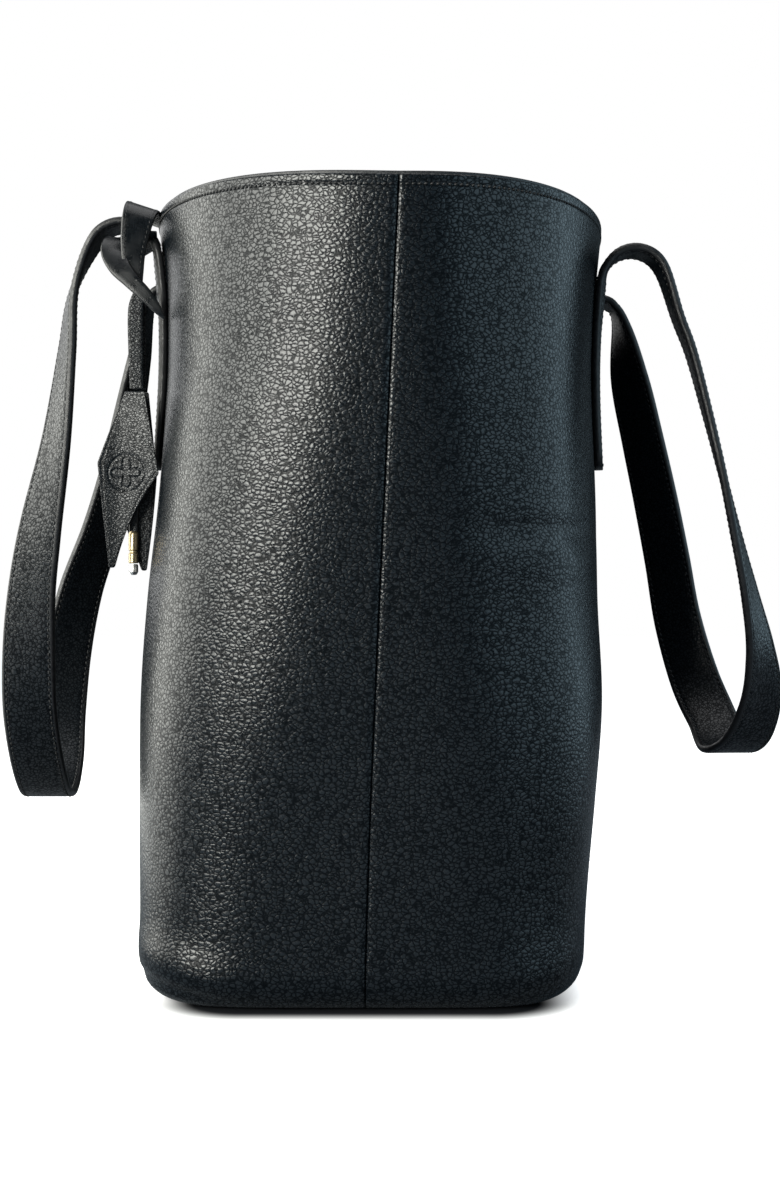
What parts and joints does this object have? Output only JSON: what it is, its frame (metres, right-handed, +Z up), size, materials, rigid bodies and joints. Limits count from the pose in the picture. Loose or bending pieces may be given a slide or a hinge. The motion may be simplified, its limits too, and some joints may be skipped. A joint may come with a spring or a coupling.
{
  "type": "diaper bag",
  "caption": "Soft leather tote-style diaper bag with an open top, long strap handles that hang outwards, a hitched leaf charm, and a lined inside with zip and bottle pockets.",
  "frame": {"origin": "centre of the base, on the surface that the bag stands on", "axes": "+X along the bag's length towards the end that was pictured, -Y towards the front with the charm, +Z up"},
  "size_m": [0.3698, 0.3621, 0.3385],
  "materials": {
    "grain_leather": "pebbled, satin",
    "plain_leather": "smooth, satin",
    "lining_cloth": "twill cloth",
    "webbing": "woven tape",
    "stiffener_board": "matte board",
    "elastic": "ribbed elastic",
    "brass": "polished",
    "nickel": "polished"
  },
  "bodies": {
    "root": {"back_facing": "plain_leather", "back_lining": "lining_cloth", "back_panel": "grain_leather", "back_tab_far": "grain_leather", "back_tab_near": "grain_leather", "base_board": "stiffener_board", "base_lining": "lining_cloth", "base_panel": "grain_leather", "bottle_elastic_far": "elastic", "bottle_elastic_near": "elastic", "bottle_pocket_far": "lining_cloth", "bottle_pocket_near": "lining_cloth", "far_seam_tape": "webbing", "front_facing": "plain_leather", "front_lining": "lining_cloth", "front_panel": "grain_leather", "front_tab_far": "grain_leather", "front_tab_near": "grain_leather", "near_seam_tape": "webbing", "snap_socket": "nickel", "snap_stud": "nickel", "zip_frame": "plain_leather", "zip_pocket_bag": "lining_cloth", "zip_stop_far": "brass", "zip_stop_near": "brass", "zip_tape_lower": "webbing", "zip_tape_upper": "webbing", "zip_teeth_lower": "brass", "zip_teeth_upper": "brass"},
    "front_handle_bend": {"front_arch_near": "grain_leather", "front_arch_far": "grain_leather", "charm_hitch": "plain_leather"},
    "front_handle": {"front_handle_outer": "grain_leather", "front_handle_lining": "plain_leather"},
    "back_handle_bend": {"back_arch_near": "grain_leather", "back_arch_far": "grain_leather"},
    "back_handle": {"back_handle_outer": "grain_leather", "back_handle_lining": "plain_leather"},
    "charm_hanger": {"charm_strap": "plain_leather"},
    "charm_tag": {"charm_leaf_front": "grain_leather", "charm_leaf_back": "grain_leather"},
    "charm_clip": {"charm_tongue": "plain_leather", "charm_ferrule": "brass", "charm_tip": "nickel"},
    "zip_slider": {"zip_slider": "brass"},
    "zip_pull": {"zip_pull": "brass"}
  },
  "joints": [
    {"name": "front_handle_lift", "type": "hinge", "parent": "root", "child": "front_handle_bend", "pos_m": [0, -0.09615, 0.32401], "axis": [-0.9984, 0.0098, -0.0553], "range_deg": [0, 86], "deforming": ["front_arch_near", "front_arch_far", "charm_hitch"]},
    {"name": "front_handle_swing", "type": "hinge", "parent": "front_handle_bend", "child": "front_handle", "pos_m": [0, -0.11616, 0.32401], "axis": [-0.9966, 0.0615, -0.0552], "range_deg": [0, 86]},
    {"name": "back_handle_lift", "type": "hinge", "parent": "root", "child": "back_handle_bend", "pos_m": [0, 0.1067, 0.31551], "axis": [0.9999, 0.0039, 0.0144], "range_deg": [0, 86], "deforming": ["back_arch_near", "back_arch_far"]},
    {"name": "back_handle_swing", "type": "hinge", "parent": "back_handle_bend", "child": "back_handle", "pos_m": [0, 0.12672, 0.31551], "axis": [0.9994, 0.0328, 0.0144], "range_deg": [0, 86]},
    {"name": "charm_level", "type": "hinge", "parent": "front_handle_bend", "child": "charm_hanger", "pos_m": [0.0885, -0.1015, 0.301], "axis": [-0.9984, 0.0098, -0.0553], "range_deg": [-86, 0]},
    {"name": "charm_sway", "type": "hinge", "parent": "charm_hanger", "child": "charm_tag", "pos_m": [0.0885, -0.1014, 0.2565], "axis": [0, -1, 0], "range_deg": [-5, 30]},
    {"name": "charm_clip_swing", "type": "hinge", "parent": "charm_tag", "child": "charm_clip", "pos_m": [0.0885, -0.1014, 0.251], "axis": [1, 0, 0], "range_deg": [-12, 4]},
    {"name": "zip_slide", "type": "slide", "parent": "root", "child": "zip_slider", "axis": [-1, 0, 0], "range_m": [0, 0.146]},
    {"name": "zip_pull_swing", "type": "hinge", "parent": "zip_slider", "child": "zip_pull", "pos_m": [0.074, 0.0859, 0.23595], "axis": [-1, 0, 0], "range_deg": [0, 160]}
  ],
  "couplings": [
    {"joint": "front_handle_swing", "follows": "front_handle_lift", "ratio": 1},
    {"joint": "back_handle_swing", "follows": "back_handle_lift", "ratio": 1},
    {"joint": "charm_level", "follows": "front_handle_lift", "ratio": -1}
  ]
}
